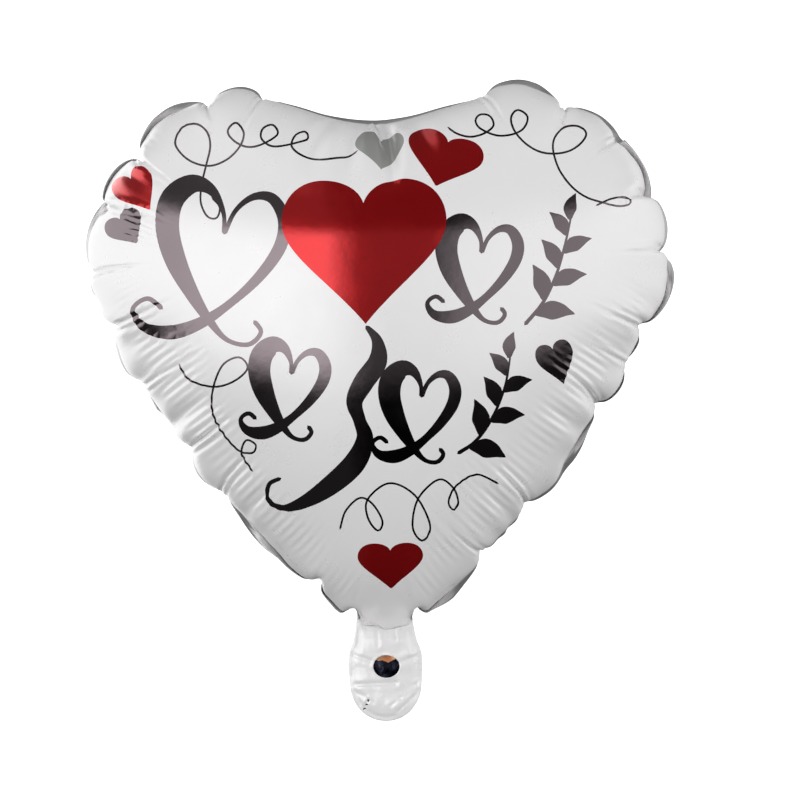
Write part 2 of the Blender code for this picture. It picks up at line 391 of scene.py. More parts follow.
def filled_film():
    """Runs the filling from a coarse film to a fine one. Also returns the first, smooth stage."""
    stages = []
    for step, steps in (LEVELS):
        film = Film(step)
        if stages:
            shape = carried(*stages[-1], film)
        else:
            distance, index = nearest(film.flat, DENSE_OUTLINE)
            tuck = tuckedness(index) * np.exp(-distance / TUCK_REACH)
            tuck = tuck * np.clip(film.flat[:, 1] / NECK_FADE, 0, 1)
            y = film.side * (START_HEIGHT + START_RISE * np.sqrt(distance)) * (1 - 0.5 * tuck)
            y += rng.uniform(-1, 1, len(distance)) * (film.side == 0)
            y[film.pinned] = 0
            inward = (film.flat - (0, FILM_MIDDLE_Z)) * TUCK_PULL * tuck[:, None]
            shape = np.stack([film.flat[:, 0] - inward[:, 0], y, film.flat[:, 1] - inward[:, 1]], axis=1)
        stages.append((film, relaxed(film, shape, steps)))
    return stages[-1], stages[0]


# -------- carrying flat points onto the filled film

# Radius of the circle of film that each finished point is averaged over, and how much triangles are rounded
AVERAGED = 2.4
ROUNDING = 0.75


def vertex_normals(shape, faces):
    a, b, c = (shape[faces[:, k]] for k in range(3))
    face_normals = np.cross(b - a, c - a)
    total = np.zeros_like(shape)
    for k in range(3):
        for axis in range(3):
            total[:, axis] += np.bincount(faces[:, k], face_normals[:, axis], len(shape))
    return unit(total)


def on_film(film, shape, faces, points):
    """Places flat points on one filled sheet, rounded between its triangles, and gives the normals there."""
    hit, weights = barycentric(film.flat, faces, points)
    weights = np.clip(weights, 0, 1)
    weights /= weights.sum(axis=1)[:, None]
    normals = vertex_normals(shape, faces)
    share = weights[:, :, None]
    flat_place = (shape[hit] * share).sum(axis=1)
    off_plane = ((flat_place[:, None, :] - shape[hit]) * normals[hit]).sum(axis=2)
    rounded = ((flat_place[:, None, :] - off_plane[:, :, None] * normals[hit]) * share).sum(axis=1)
    return flat_place * (1 - ROUNDING) + rounded * ROUNDING, unit((normals[hit] * share).sum(axis=1))


def evenly_on_film(film, shape, faces, points):
    """Places and normals averaged over a small circle of film, so that its triangles leave no marks."""
    turn = np.arange(6) * math.pi / 3
    circle = np.stack([np.cos(turn), np.sin(turn)], axis=1) * AVERAGED
    shifts = np.concatenate([np.zeros((2, 2)), circle])
    places, normals = on_film(film, shape, faces, (points + shifts[:, None, :]).reshape(-1, 2))
    places, normals = (found.reshape(len(shifts), -1, 3).mean(axis=0) for found in (places, normals))
    return places, unit(normals)


def smooth_loop(points, count):
    """A closed Catmull-Rom curve through the points, read at count equal steps of their index."""
    total = len(points)
    t = np.arange(count) * total / count
    i = t.astype(int)
    return catmull_rom(*(points[(i + k) % total] for k in (-1, 0, 1, 2)), (t - i)[:, None])


def fitted(film, shapes):
    """Scales the filled film, by a percent or two, so that its welded edge fills the frame's box."""
    low, high = (np.array(corner) / MM for corner in CAD_BOX)
    edge = np.concatenate([shapes[0][:film.ring_count], shapes[0][film.margin_start:]])
    scale = np.array([(high[0] - low[0]) / np.ptp(edge[:, 0]),
                      (high[1] - low[1]) / np.ptp(shapes[0][:, 1]),
                      high[2] / edge[:, 2].max()])
    return [shape * scale for shape in shapes]


# -------- printed ornaments

# The print is drawn as seen from straight in front of the filled balloon, and carried back to the flat film
EYE_DISTANCE = 1600.0
EYE_HEIGHT = 145.0
WHITE, RED, BLACK, SILVER = range(4)


def seen_from_front(places):
    spread = EYE_DISTANCE / (EYE_DISTANCE + places[:, 1])
    return np.stack([places[:, 0] * spread, EYE_HEIGHT + (places[:, 2] - EYE_HEIGHT) * spread], axis=1)


class Layout:
    """A smooth two-way map between the flat film and the front view, fitted to the uncreased balloon."""

    DEGREE = 8
    SOLVING_STEPS = 120
    SOLVING_SHARE = 0.7

    def __init__(self, film, shape):
        used = np.unique(film.front)
        self.terms = [(i, j) for i in range(self.DEGREE + 1) for j in range(self.DEGREE + 1 - i)]
        self.low, self.high = film.flat[used].min(axis=0), film.flat[used].max(axis=0)
        rows = self.powers(film.flat[used])
        self.fit = np.linalg.lstsq(rows, seen_from_front(shape[used]), rcond=None)[0]

    def powers(self, flat):
        x, z = flat[:, 0] / FILM_HALF[0], (flat[:, 1] - FILM_MIDDLE_Z) / FILM_HALF[1]
        return np.stack([x ** i * z ** j for i, j in self.terms], axis=1)

    def to_view(self, flat):
        return self.powers(np.asarray(flat)) @ self.fit

    def to_flat(self, view):
        view = np.asarray(view, float)
        flat = view.copy()
        for _ in range(self.SOLVING_STEPS):
            flat = np.clip(flat + self.SOLVING_SHARE * (view - self.to_view(flat)), self.low, self.high)
        return flat


def through(points, step):
    """An open Catmull-Rom curve through points (x, z, ...), read at about equal steps along x and z."""
    points = np.array(points, float)
    ends = np.concatenate([[2 * points[0] - points[1]], points, [2 * points[-1] - points[-2]]])
    t = np.linspace(0, 1, 40, endpoint=False)[:, None]
    pieces = [catmull_rom(*four, t) for four in zip(ends, ends[1:], ends[2:], ends[3:])]
    line = np.concatenate(pieces + [points[-1:]])
    along = lengths_along(line)
    return read_at(line, along, np.linspace(0, along[-1], max(4, int(along[-1] / step))))


def placed(points, x, z, width, height, tilt):
    """Unit points (x, z, ...) scaled, leaned right by tilt degrees and moved; other columns are kept."""
    points = np.array(points, float)
    turn = math.radians(tilt)
    rotate = np.array([[math.cos(turn), -math.sin(turn)], [math.sin(turn), math.cos(turn)]])
    return np.concatenate([points[:, :2] * (width, height) @ rotate + (x, z), points[:, 2:]], axis=1)


class Heart:
    """A filled heart."""

    def __init__(self, ink, x, z, width, height, tilt=0.0):
        spans = [
            bezier((0, 0.34), (0.03, 0.44), (0.13, 0.5), (0.255, 0.5), 30),
            bezier((0.255, 0.5), (0.40, 0.5), (0.5, 0.38), (0.5, 0.22), 30),
            bezier((0.5, 0.22), (0.5, 0.0), (0.22, -0.19), (0, -0.5), 50),
            [(0, -0.5)],
        ]
        half = np.concatenate(spans)
        loop = np.concatenate([half, half[-2:0:-1] * (-1, 1)])
        self.ink = ink
        self.loop = resampled(placed(loop, x, z, width, height, tilt), PRINT_STEP)

    def covers(self, points):
        return inside(points, self.loop)


class Stroke:
    """A pen stroke through points (x, z, width), with rounded ends."""

    def __init__(self, ink, points, step=PRINT_STEP):
        line = through(points, step)
        along = unit(np.gradient(line[:, :2], axis=0))
        half = np.maximum(line[:, 2], 0.4) / 2
        steps = np.arange(len(line)) * step
        to_end = np.minimum(steps, steps[::-1]) + 0.05
        half = np.where(to_end < half, np.sqrt(np.maximum(half ** 2 - (half - to_end) ** 2, 0.01)), half)
        across = quarter_turned(along) * half[:, None]
        line = line[:, :2]
        self.ink = ink
        self.spine = through(np.column_stack([line, half]), 0.3)
        self.loop = np.concatenate([line[:1], line[1:-1] + across[1:-1], line[-1:], (line - across)[-2:0:-1]])

    def covers(self, points):
        line, half = self.spine[:, :2], self.spine[:, 2]
        low, high = line.min(axis=0) - half.max(), line.max(axis=0) + half.max()
        near = np.flatnonzero(((points > low) & (points < high)).all(axis=1))
        result = np.zeros(len(points), bool)
        if len(near):
            distance, index = nearest(points[near], line)
            result[near] = distance < half[index] + 0.02
        return result


def open_heart(x, z, width, height, tilt, broad):
    """A heart drawn with two brush strokes that cross at its tip and end in long curls."""
    fine = 0.2 * broad
    left = [(0.00, 0.14, fine), (-0.04, 0.31, fine), (-0.17, 0.46, 0.45 * broad), (-0.34, 0.48, 0.8 * broad),
            (-0.48, 0.33, broad), (-0.48, 0.11, broad), (-0.36, -0.13, 0.9 * broad),
            (-0.16, -0.37, 0.6 * broad), (0.03, -0.55, 0.35 * broad), (0.20, -0.66, fine),
            (0.38, -0.66, fine), (0.46, -0.55, fine), (0.38, -0.47, fine)]
    right = [(0.00, 0.14, fine), (0.06, 0.34, fine), (0.19, 0.47, 0.3 * broad), (0.35, 0.48, 0.45 * broad),
             (0.48, 0.33, 0.55 * broad), (0.48, 0.12, 0.55 * broad), (0.35, -0.14, 0.45 * broad),
             (0.15, -0.39, 0.35 * broad), (-0.05, -0.57, 0.5 * broad), (-0.27, -0.68, 0.6 * broad),
             (-0.50, -0.68, 0.4 * broad), (-0.62, -0.56, fine), (-0.52, -0.46, fine), (-0.38, -0.52, fine)]
    return [Stroke(BLACK, placed(side, x, z, width, height, tilt)) for side in (left, right)]


def sprig(points, leaves, length, broad):
    """A curved stem with pointed leaves on alternate sides, smaller towards its end."""
    stem = through(np.column_stack([points, np.linspace(2.6, 1.2, len(points))]), 1.0)
    strokes = [Stroke(BLACK, stem[::4])]
    for i in range(leaves):
        at = int((0.12 + 0.84 * i / (leaves - 1)) * (len(stem) - 1))
        run = stem[min(at + 2, len(stem) - 1), :2] - stem[max(at - 2, 0), :2]
        side = 1 if i % 2 else -1
        heading = math.atan2(run[1], run[0]) + side * math.radians(0 if i == leaves - 1 else 48)
        size = length * (1 - 0.35 * i / leaves)
        way = np.array([math.cos(heading), math.sin(heading)])
        bow = np.array([-way[1], way[0]]) * -side * 0.10 * size
        leaf = [(*(stem[at, :2] + way * size * t + bow * math.sin(math.pi * t)), broad * size / length * w)
                for t, w in ((0, 0.15), (0.2, 0.62), (0.42, 1.0), (0.66, 0.78), (0.86, 0.32), (1, 0.06))]
        strokes.append(Stroke(BLACK, leaf))
    return strokes


# Centre lines of the fine ribbon curls (x, z), millimetres on the inflated front
CURLS = (
    ((-12, 304), (-20, 300), (-33, 298), (-46, 301), (-53, 307), (-51, 314), (-45, 316), (-44, 311),
     (-57, 308), (-66, 308), (-72, 313), (-71, 319), (-65, 321), (-62, 315), (-72, 309), (-81, 308),
     (-89, 312), (-93, 318), (-88, 323), (-83, 317), (-85, 309), (-93, 301), (-105, 297), (-118, 301),
     (-126, 311), (-122, 321), (-113, 323), (-106, 318), (-104, 309), (-107, 297), (-110, 286), (-111, 274),
     (-107, 265), (-101, 264), (-99, 271), (-104, 277)),
    ((46, 317), (52, 313), (60, 311), (68, 313), (74, 318), (72, 324), (66, 325), (63, 321), (66, 316),
     (76, 312), (86, 313), (93, 317), (95, 324), (89, 328), (85, 323), (87, 315), (94, 307), (103, 302),
     (113, 301), (122, 303), (129, 308), (132, 314), (127, 318), (118, 317), (112, 311), (111, 303),
     (115, 291), (123, 280), (132, 273), (142, 269), (152, 266), (159, 267), (157, 271), (148, 271),
     (138, 267)),
    ((-127, 172), (-120, 162), (-105, 157), (-92, 160), (-83, 168), (-88, 175), (-98, 171), (-104, 159),
     (-106, 146), (-103, 134), (-97, 124), (-89, 116), (-81, 115), (-79, 120), (-85, 123), (-88, 114),
     (-81, 103)),
    ((-27, 65), (-23, 77), (-14, 85), (-6, 81), (0, 70), (-3, 64), (-9, 72), (-9, 84), (5, 94), (21, 86),
     (30, 67), (25, 57), (19, 66), (23, 84), (36, 96), (45, 91), (48, 82), (45, 77), (42, 82), (47, 92),
     (60, 99), (74, 93)),
)
CURL_WIDTH = 1.3


def ornaments():
    ribbon = [(-8, 194, 2.5), (-1, 184, 7), (-1, 171, 12), (-10, 158, 13), (-16, 146, 10.5), (-13, 134, 8),
              (-10, 122, 11), (-17, 107, 14), (-33, 93, 12.5), (-50, 83, 8), (-63, 80, 4), (-72, 86, 3),
              (-71, 95, 2.8), (-63, 99, 2.6)]
    return [
        *[Stroke(BLACK, [(*place, CURL_WIDTH) for place in line]) for line in CURLS],
        Heart(BLACK, -158.0, 257.0, 25, 22, tilt=-34),
        Heart(BLACK, 112.0, 168.0, 24, 27, tilt=-16),
        *open_heart(-99, 242, 76, 82, 12, 15.0),
        *open_heart(64, 231, 46, 52, 10, 14.0),
        *sprig([(92, 192), (104, 206), (113, 224), (119, 244), (123, 262)], 7, 26, 12.0),
        *open_heart(-57, 157, 42, 48, 12, 14.0),
        Stroke(BLACK, ribbon),
        *open_heart(25, 141, 42, 48, 10, 14.0),
        *sprig([(48, 112), (60, 120), (71, 135), (79, 154), (83, 174)], 7, 25, 12.0),
        Heart(SILVER, 3.0, 304.0, 33, 25),
        Heart(RED, 42.5, 296.5, 47, 34, tilt=18),
        Heart(RED, -8.0, 240.0, 103, 90),
        Heart(RED, -150.5, 280.5, 27, 27, tilt=-32),
        Heart(RED, 4.5, 41.5, 41, 29),
    ]


# -------- the finished sheets

def thinned(points, least):
    """The points without those that are nearer than least to an earlier one."""
    tree = tree_of(points)
    kept = np.ones(len(points), bool)
    for i, (x, y) in enumerate(points):
        if kept[i]:
            for _, other, _ in tree.find_range((x, y, 0), least):
                kept[other] &= other <= i
    return points[kept]


def rim_rows():
    """Rows of points that follow the weld inwards, close enough along it to give fine pleats a shape."""
    ring = resampled(OUTLINE, RIM_STEP)
    outward = outwards(ring)
    rows = []
    for depth in ROW_DEPTHS:
        row = ring - outward * depth
        away = nearest(row, DENSE_OUTLINE)[0]
        rows.append(row[inside(row, ring) & (np.abs(away - depth) < 0.25)])
    return ring, thinned(np.concatenate(rows), 0.8 * RIM_STEP)


def flat_print_mesh(layout, areas):
    """One flat triangle mesh for both heart sheets, with an ink number for every triangle."""
    ring, rows = rim_rows()
    loops = [ring] + [layout.to_flat(area.loop) for area in areas]
    starts = np.cumsum([0] + [len(loop) for loop in loops])
    edges = [edge for start, loop in zip(starts, loops) for edge in loop_edges(start, len(loop))]
    drawn = np.concatenate(loops)
    middle = lattice(ring.min(axis=0), ring.max(axis=0), INNER_STEP)
    middle = middle[inside(middle, ring)]
    middle = middle[nearest(middle, DENSE_OUTLINE)[0] > ROW_DEPTHS[-1] + INNER_STEP / 2]
    grid = thinned(np.concatenate([rows, middle]), 0.8 * RIM_STEP)
    grid = grid[nearest(grid, drawn)[0] > PRINT_CLEARANCE]
    flat, faces = triangulated(np.concatenate([drawn, grid]), edges)
    faces = faces[inside(flat[faces].mean(axis=1), ring)]
    middles = flat[faces].mean(axis=1)
    seen = layout.to_view(middles)
    ink = np.zeros(len(faces), int)
    for area, loop in zip(areas, loops[1:]):
        low, high = loop.min(axis=0) - PRINT_STEP, loop.max(axis=0) + PRINT_STEP
        ink[area.covers(seen) & ((middles > low) & (middles < high)).all(axis=1)] = area.ink
    return flat, faces, ink, len(ring)


def value_noise(places, scale, offset):
    return np.array([noise.noise(Vector((x / scale + offset, y / scale, z / scale))) for x, y, z in places])


# Stretches of the weld with fine pleats: middle and half-length as parts of it, strength, and how far in they
# start and end
PLEATS = ((0.335, 0.055, 1.0, 42, 92), (0.41, 0.045, 1.0, 38, 104), (0.47, 0.02, 0.8, 24, 66),
          (0.54, 0.025, 0.8, 24, 66), (0.60, 0.05, 1.0, 34, 88), (0.675, 0.045, 1.0, 38, 98),
          (0.74, 0.04, 0.6, 40, 80), (0.80, 0.022, 1.0, 44, 92), (0.865, 0.03, 0.8, 22, 56),
          (0.275, 0.03, 0.5, 34, 72), (0.115, 0.03, 0.5, 22, 54))
PLEAT_PITCH = 6.2
PLEAT_HEIGHT = 0.42
PLEAT_FADES = (16, 26)
CREASE_DEPTH = 1.1
CREASE_LENGTH = 98.0
CLEFT_CREASE = 0.8
NOTCH_REACH = 9


def rim_place(flat):
    """How far each flat point is from the weld, and how far along the weld its nearest place is."""
    line = resampled(OUTLINE, FINE_STEP)
    step = len(DENSE_OUTLINE) / len(line)
    distance, index = nearest(flat, line)
    return distance, index * step + ((flat - line[index]) * unit(along_loop(line))[index]).sum(axis=1)


def notches(film, shape):
    """Where the filled weld is pulled in: (part of the weld, how sharply from 0 to 1), for each notch."""
    count = film.ring_count
    ring = shape[:count][:, [0, 2]]
    reach = np.arange(-NOTCH_REACH, NOTCH_REACH + 1)
    weight = np.exp(-(reach / (0.45 * NOTCH_REACH)) ** 2)
    around = (np.arange(count)[:, None] + reach) % count
    smooth = (ring[around] * weight[:, None]).sum(axis=1) / weight.sum()
    offset = ((ring - smooth) * outwards(smooth)).sum(axis=1)
    lowest = offset <= offset[(np.arange(count)[:, None] + np.arange(-3, 4)) % count].min(axis=1) + 1e-9
    clear = (offset < -0.5) & (film.flat[:count, 1] > 24)
    found = [(i / count, min(1.0, 0.35 - offset[i] / 4)) for i in np.flatnonzero(lowest & clear)]
    return found + [(0.0, CLEFT_CREASE)]


def creases(distance, along, places):
    """Height of the sharp double creases that run in from the given notches of the weld."""
    height = np.zeros(len(along))
    whole = len(DENSE_OUTLINE)
    for number, (part, amount) in enumerate(places):
        lean = 0.10 * math.sin(5.0 * number)
        side = (along - part * whole + whole / 2) % whole - whole / 2 + lean * distance
        length = CREASE_LENGTH * (0.65 + 0.35 * math.sin(3.0 * number) ** 2)
        fade = np.clip((distance - 2) / 8, 0, 1) * np.clip((length - distance) / (0.4 * length), 0, 1)
        profile = (-1.5 * np.exp(-(side / 1.3) ** 2) + 0.55 * np.exp(-((side + 2.8) / 1.5) ** 2)
                   - 0.55 * np.exp(-((side + 5.6) / 1.6) ** 2) + 0.4 * np.exp(-((side - 3.0) / 1.8) ** 2))
        height += CREASE_DEPTH * amount * fade * profile
    return height


def pleats(flat, places):
    """Height of the creases and fine pleats that run in from the weld, for every flat point."""
    distance, along = rim_place(flat)
    part = along / len(DENSE_OUTLINE)
    strength = np.zeros(len(flat))
    for middle, half_length, amount, start, end in PLEATS:
        spread = np.clip(1.5 - 1.5 * ((part - middle) / half_length) ** 2, 0, 1)
        depth = (np.clip((distance - start) / PLEAT_FADES[0], 0, 1)
                 * np.clip((end - distance) / PLEAT_FADES[1], 0, 1))
        strength = np.maximum(strength, amount * spread * depth)
    grain = np.stack([along, distance * 0.15, np.zeros(len(flat))], axis=1)
    wander = value_noise(grain, 60.0, 3.7)
    broken = 0.75 + 0.9 * value_noise(grain, 26.0, 40.2)
    wave = np.sin(2 * math.pi * along / PLEAT_PITCH + 2.0 * wander)
    return PLEAT_HEIGHT * strength * np.clip(broken, 0.2, 1.1) * wave + creases(distance, along, places)


def new_object(name, data):
    item = bpy.data.objects.new(name, data)
    bpy.context.scene.collection.objects.link(item)
    return item


def new_piece(name, places, faces, materials, ink=None):
    """A smooth mesh object made from millimetres."""
    mesh = bpy.data.meshes.new(name)
    mesh.from_pydata((np.asarray(places) * MM).tolist(), [], [tuple(map(int, f)) for f in faces])
    for material in materials:
        mesh.materials.append(material)
    if ink is not None:
        mesh.polygons.foreach_set("material_index", np.asarray(ink, np.int32))
    mesh.shade_smooth()
    mesh.update()
    return new_object(name, mesh)


def heart_sheet(name, film, shape, printed, rim, front, materials):
    """The front or the back sheet: the printed flat mesh carried onto the filled film."""
    flat, faces, ink, rim_count = printed
    laid = flat if front else flat * (-1, 1)
    skins = film.front if front else film.back
    places, normals = evenly_on_film(film, shape, skins, laid)
    places += normals * pleats(laid, notches(film, shape))[:, None]
    ring_places = rim if front else rim[(-np.arange(rim_count)) % rim_count]
    places[:rim_count] = ring_places
    piece = new_piece(name, places, faces, materials, ink)
    piece.data.normals_split_custom_set_from_vertices(vertex_normals(places, faces))
    return piece


def solid_strip(name, rows, joined, materials):
    """A thin solid strip from rows of points across one side and then the other; joined says which go on."""
    count = len(joined)
    far = len(rows) // 2 * count
    last = far - count
    faces = []
    for i in np.flatnonzero(joined):
        j = (i + 1) % count
        for a in range(0, last, count):
            b = a + count
            faces += [(a + i, b + i, b + j, a + j), (far + a + j, far + b + j, far + b + i, far + a + i)]
        faces += [(last + i, far + last + i, far + last + j, last + j), (j, far + j, far + i, i)]
        for k, goes_on, turn in ((i, joined[i - 1], 1), (j, joined[j], -1)):
            if not goes_on:
                faces += [(a, a + far, a + count + far, a + count)[::turn] for a in range(k, last + k, count)]
    used, order = np.unique(np.array(faces), return_inverse=True)
    return new_piece(name, np.concatenate(rows)[used], order.reshape(-1, 4), materials)


def margin_band(film, shape, rim, materials):
    """The welded margin: a thin solid band from the weld out to the cut edge, open at the tail."""
    edge = smooth_loop(shape[film.margin_start:], len(rim))
    flat = resampled(OUTLINE, RIM_STEP)
    # The tail leaves through the gap, and the band widens from there up to its full width
    kept = (flat[:, 1] > 2.0) | (np.abs(flat[:, 0]) > TAIL_TOP_HALF + 1.5)
    across = (edge - rim) * np.clip(0.35 + flat[:, 1:] / 26, 0, 1)
    normal = unit(np.cross(along_loop(rim), across))
    rows = [rim + across * s + normal * side * MARGIN_THICKNESS / 2
            for side in (-1, 1) for s in np.linspace(0, 1, MARGIN_ROWS)]
    return solid_strip("weld_margin", rows, kept & np.roll(kept, -1), materials)


# -------- the tail

TAIL_TOP_HALF = 17.4
TAIL_HALF = 23.0
TAIL_END = -57.0
TAIL_SEAM = 3.2
SEAM_THICKNESS = 0.12
TAIL_STEP = 1.0
TAIL_FILM = 0.12
TAIL_HOLE = (0.5, -22.4)
TAIL_HOLE_RADIUS = 8.3
TAIL_HOLE_SQUASH = (1.0, 0.86)
# Film behind the hole that catches a warm light, painted on as a warm highlight
GLEAM = ((-8.0, -17.4), (-5.0, -13.0), (1.0, -12.0), (7.5, -13.5), (9.5, -18.0), (6.4, -18.3), (4.2, -19.2),
         (1.6, -20.6), (0.2, -19.8), (-1.8, -18.9), (-4.4, -19.4), (-6.4, -18.6))
LIP_WIDTH = 2.5
# The tail's own materials, after white: its inner side painted dark as shade, and a painted warm highlight
DARK, GLEAMING = 1, 2
MARGIN_ROWS = 4
MARGIN_THICKNESS = 0.16


def tail_outline():
    """The tail's cut edge, from the left end of the neck crease down and round to its right end."""
    top, side = -TAIL_TOP_HALF, -TAIL_HALF
    spans = [
        bezier((top, 0), (top - 0.5, -5), (side + 0.6, -9), (side, -16), 30),
        bezier((side, -16), (side - 0.6, -23), (side + 0.2, -30), (side + 0.6, -36), 30),
        bezier((side + 0.6, -36), (side + 2.4, -48), (-12, TAIL_END), (0, TAIL_END), 40),
        [(0, TAIL_END)],
    ]
    half = np.concatenate(spans)
    return np.concatenate([half, half[-2::-1] * (-1, 1)])


def crease_height(film, shape):
    """The weld's points along the neck crease of the filled film, in order of x."""
    ring = np.arange(film.ring_count)
    low = ring[(film.flat[ring, 1] < 14) & (np.abs(film.flat[ring, 0]) < 42)]
    low = low[np.argsort(film.flat[low, 0])]
    line = shape[low]
    keep = np.concatenate([[True], np.diff(np.maximum.accumulate(line[:, 0])) > 0])
    return line[keep]


# Folds pressed into the tail: start, end, depth and half-width
FRONT_FOLDS = (
    ((-18, -33.5), (6, -33.0), 0.9, 2.0), ((24, -36), (7, -51), 1.0, 1.5), ((20, -33), (3, -47), 0.5, 1.2),
    ((-22, -14), (-9, -19), 0.7, 2.0), ((23, -15), (9, -20), 0.7, 2.0), ((-5, 0), (-4.5, -9), 0.6, 1.4),
    ((-11, -43), (-14.5, -49), 0.8, 0.9), ((6, 0), (7, -6), 0.4, 1.2), ((10, -41), (17, -36), -0.6, 1.3),
    ((-16, -2), (-17, -13), 0.5, 1.5), ((16, -2), (17, -13), 0.5, 1.5), ((-19, -38), (-8, -45), 0.4, 1.6),
)
SPECKS = ((-11.0, -43.6), (-12.0, -46.2), (-13.8, -49.0))
SPECK_RADIUS = 0.75
BACK_FOLDS = (
    ((-20, -28), (18, -34), 0.5, 2.4), ((-22, -40), (-4, -50), 0.5, 1.6), ((22, -12), (6, -18), 0.4, 2.0),
    ((-4, 0), (-6, -12), 0.35, 1.4), ((10, -44), (16, -38), 0.4, 1.0),
)


def folds(points, lines):
    height = np.zeros(len(points))
    for start, end, depth, half_width in lines:
        start, run = np.array(start, float), np.subtract(end, start)
        t = np.clip((points - start) @ run / (run @ run), 0, 1)
        distance = np.linalg.norm(points - start - t[:, None] * run, axis=1)
        height -= depth * np.clip(1 - distance / half_width, 0, 1) ** 1.4
        height += 0.35 * depth * np.exp(-((distance - 1.6 * half_width) / half_width) ** 2)
    return height


def hole_edge():
    turn = np.linspace(0, 2 * math.pi, 64, endpoint=False)
    return np.stack([np.cos(turn), np.sin(turn)], axis=1) * TAIL_HOLE_SQUASH * TAIL_HOLE_RADIUS + TAIL_HOLE


def hole_lip(flat):
    """How far the film is turned outwards round the hole."""
    away = flat - TAIL_HOLE
    distance = np.linalg.norm(away / TAIL_HOLE_SQUASH, axis=1) - TAIL_HOLE_RADIUS
    return np.clip(1 - distance / LIP_WIDTH, 0, 1) ** 2 * (0.5 + 0.3 * np.sin(3 * np.arctan2(*away.T)))


def tail_flat(edge, hole):
    """A tail sheet's flat triangles, and for each one the material of its inner side: painted shade, or a
    painted warm highlight where the triangle lies inside the gleam's outline.
    """
    top = np.arange(TAIL_TOP_HALF - TAIL_STEP, -TAIL_TOP_HALF + 0.3, -TAIL_STEP)
    loop = np.concatenate([edge, np.stack([top, 0 * top], axis=1)])
    inset = hole_edge() if hole else resampled(np.array(GLEAM, float), 0.7)
    drawn = np.concatenate([loop, inset])
    grid = lattice(loop.min(axis=0), loop.max(axis=0), TAIL_STEP)
    grid = grid[inside(grid, loop)]
    grid = grid[nearest(grid, drawn)[0] > 0.6 * TAIL_STEP]
    edges = loop_edges(0, len(loop)) + loop_edges(len(loop), len(inset))
    flat, faces = triangulated(np.concatenate([drawn, grid]), edges)
    faces = faces[inside(flat[faces].mean(axis=1), loop)]
    if hole:
        faces = faces[~inside(flat[faces].mean(axis=1), inset)]
    return flat, faces, np.where(inside(flat[faces].mean(axis=1), inset), GLEAMING, DARK)


def tail_sheet(name, side, crease, lines, hole, materials):
    """One tail sheet, as a thin solid with its own inner face; side is -1 in front and 1 behind."""
    edge = through(tail_outline(), TAIL_STEP)
    flat, faces, inner_painted_shade_and_highlight = tail_flat(edge, hole)
    places = tail_middle(flat, crease)
    places[:, 1] += side * tail_gap(flat, edge, side, lines)
    if hole:
        places[:, 1] += side * hole_lip(flat)
    outward = faces if side < 0 else faces[:, ::-1]
    inner = places - vertex_normals(places, outward) * TAIL_FILM
    count = len(places)
    rims = [(a, b, b + count, a + count)[::-1] for a, b in border_edges(outward)]
    all_faces = [tuple(f) for f in outward] + [tuple(f[::-1] + count) for f in outward] + rims
    specked = nearest(flat[faces].mean(axis=1), np.array(SPECKS))[0] < SPECK_RADIUS * (side < 0)
    ink = [*(specked * DARK), *inner_painted_shade_and_highlight, *[WHITE] * len(rims)]
    return new_piece(name, np.concatenate([places, inner]), all_faces, materials, ink)


def border_edges(faces):
    """Directed edges that only one face has."""
    pairs = np.concatenate([faces[:, [0, 1]], faces[:, [1, 2]], faces[:, [2, 0]]])
    known = {tuple(p) for p in pairs.tolist()}
    return [(a, b) for a, b in pairs.tolist() if (b, a) not in known]


def tail_middle(flat, crease):
    """The surface halfway between the tail's sheets: it starts on the neck crease and is wavy lower down."""
    x, z = flat[:, 0], flat[:, 1]
    wave = 0.9 * value_noise(np.stack([x, z, np.zeros(len(x))], axis=1), 19.0, 31.9) * np.clip(-z / 10, 0, 1)
    crease_y = np.interp(x, crease[:, 0], crease[:, 1])
    crease_z = np.interp(x, crease[:, 0], crease[:, 2])
    level = np.clip(1 + z / 9, 0, 1) ** 2
    return np.stack([x, crease_y * level + wave, z + crease_z * level], axis=1)


def tail_gap(flat, edge, side, lines):
    """How far a tail sheet's outer face stands off that middle: slightly puffed, folded and crinkled."""
    x, z = flat[:, 0], flat[:, 1]
    rim = nearest(flat, edge)[0]
    open_part = np.clip((rim - TAIL_SEAM) / 9, 0, 1)
    fall = np.clip(-z / 6, 0, 1)
    puff = 2.1 * np.sqrt(open_part * (2 - open_part)) * fall
    pillow = 0.8 * np.exp(-((z + 9) / 6) ** 2) * np.clip(1 - (x / 18) ** 2, 0, 1) * fall
    seen = np.stack([x, z, np.full(len(x), 5.0 * side)], axis=1)
    crinkle = 0.28 * value_noise(seen, 7.0, 11.3) + 0.16 * np.abs(value_noise(seen, 3.6, 61.7))
    uneven = (folds(flat, lines) + crinkle) * np.clip(rim / 2, 0, 1) * fall
    return np.maximum(0.22 + puff + pillow + uneven, 0.22)


def tail_seam(crease, materials):
    """The pressed seam between the tail's two sheets: a narrow solid strip that lies between them."""
    edge = through(tail_outline(), TAIL_STEP)
    inward = quarter_turned(unit(np.gradient(edge, axis=0))) * TAIL_SEAM
    rows = [tail_middle(edge + inward * s, crease) + (0, y, 0)
            for y in (SEAM_THICKNESS / 2, -SEAM_THICKNESS / 2) for s in (0.0, 0.5, 1.0)]
    return solid_strip("tail_weld", rows, np.arange(len(edge)) < len(edge) - 1, materials)


# -------- materials

def add_node(tree, kind, **settings):
    node = tree.nodes.new("ShaderNode" + kind)
    for socket, value in settings.items():
        node.inputs[socket].default_value = value
    return node


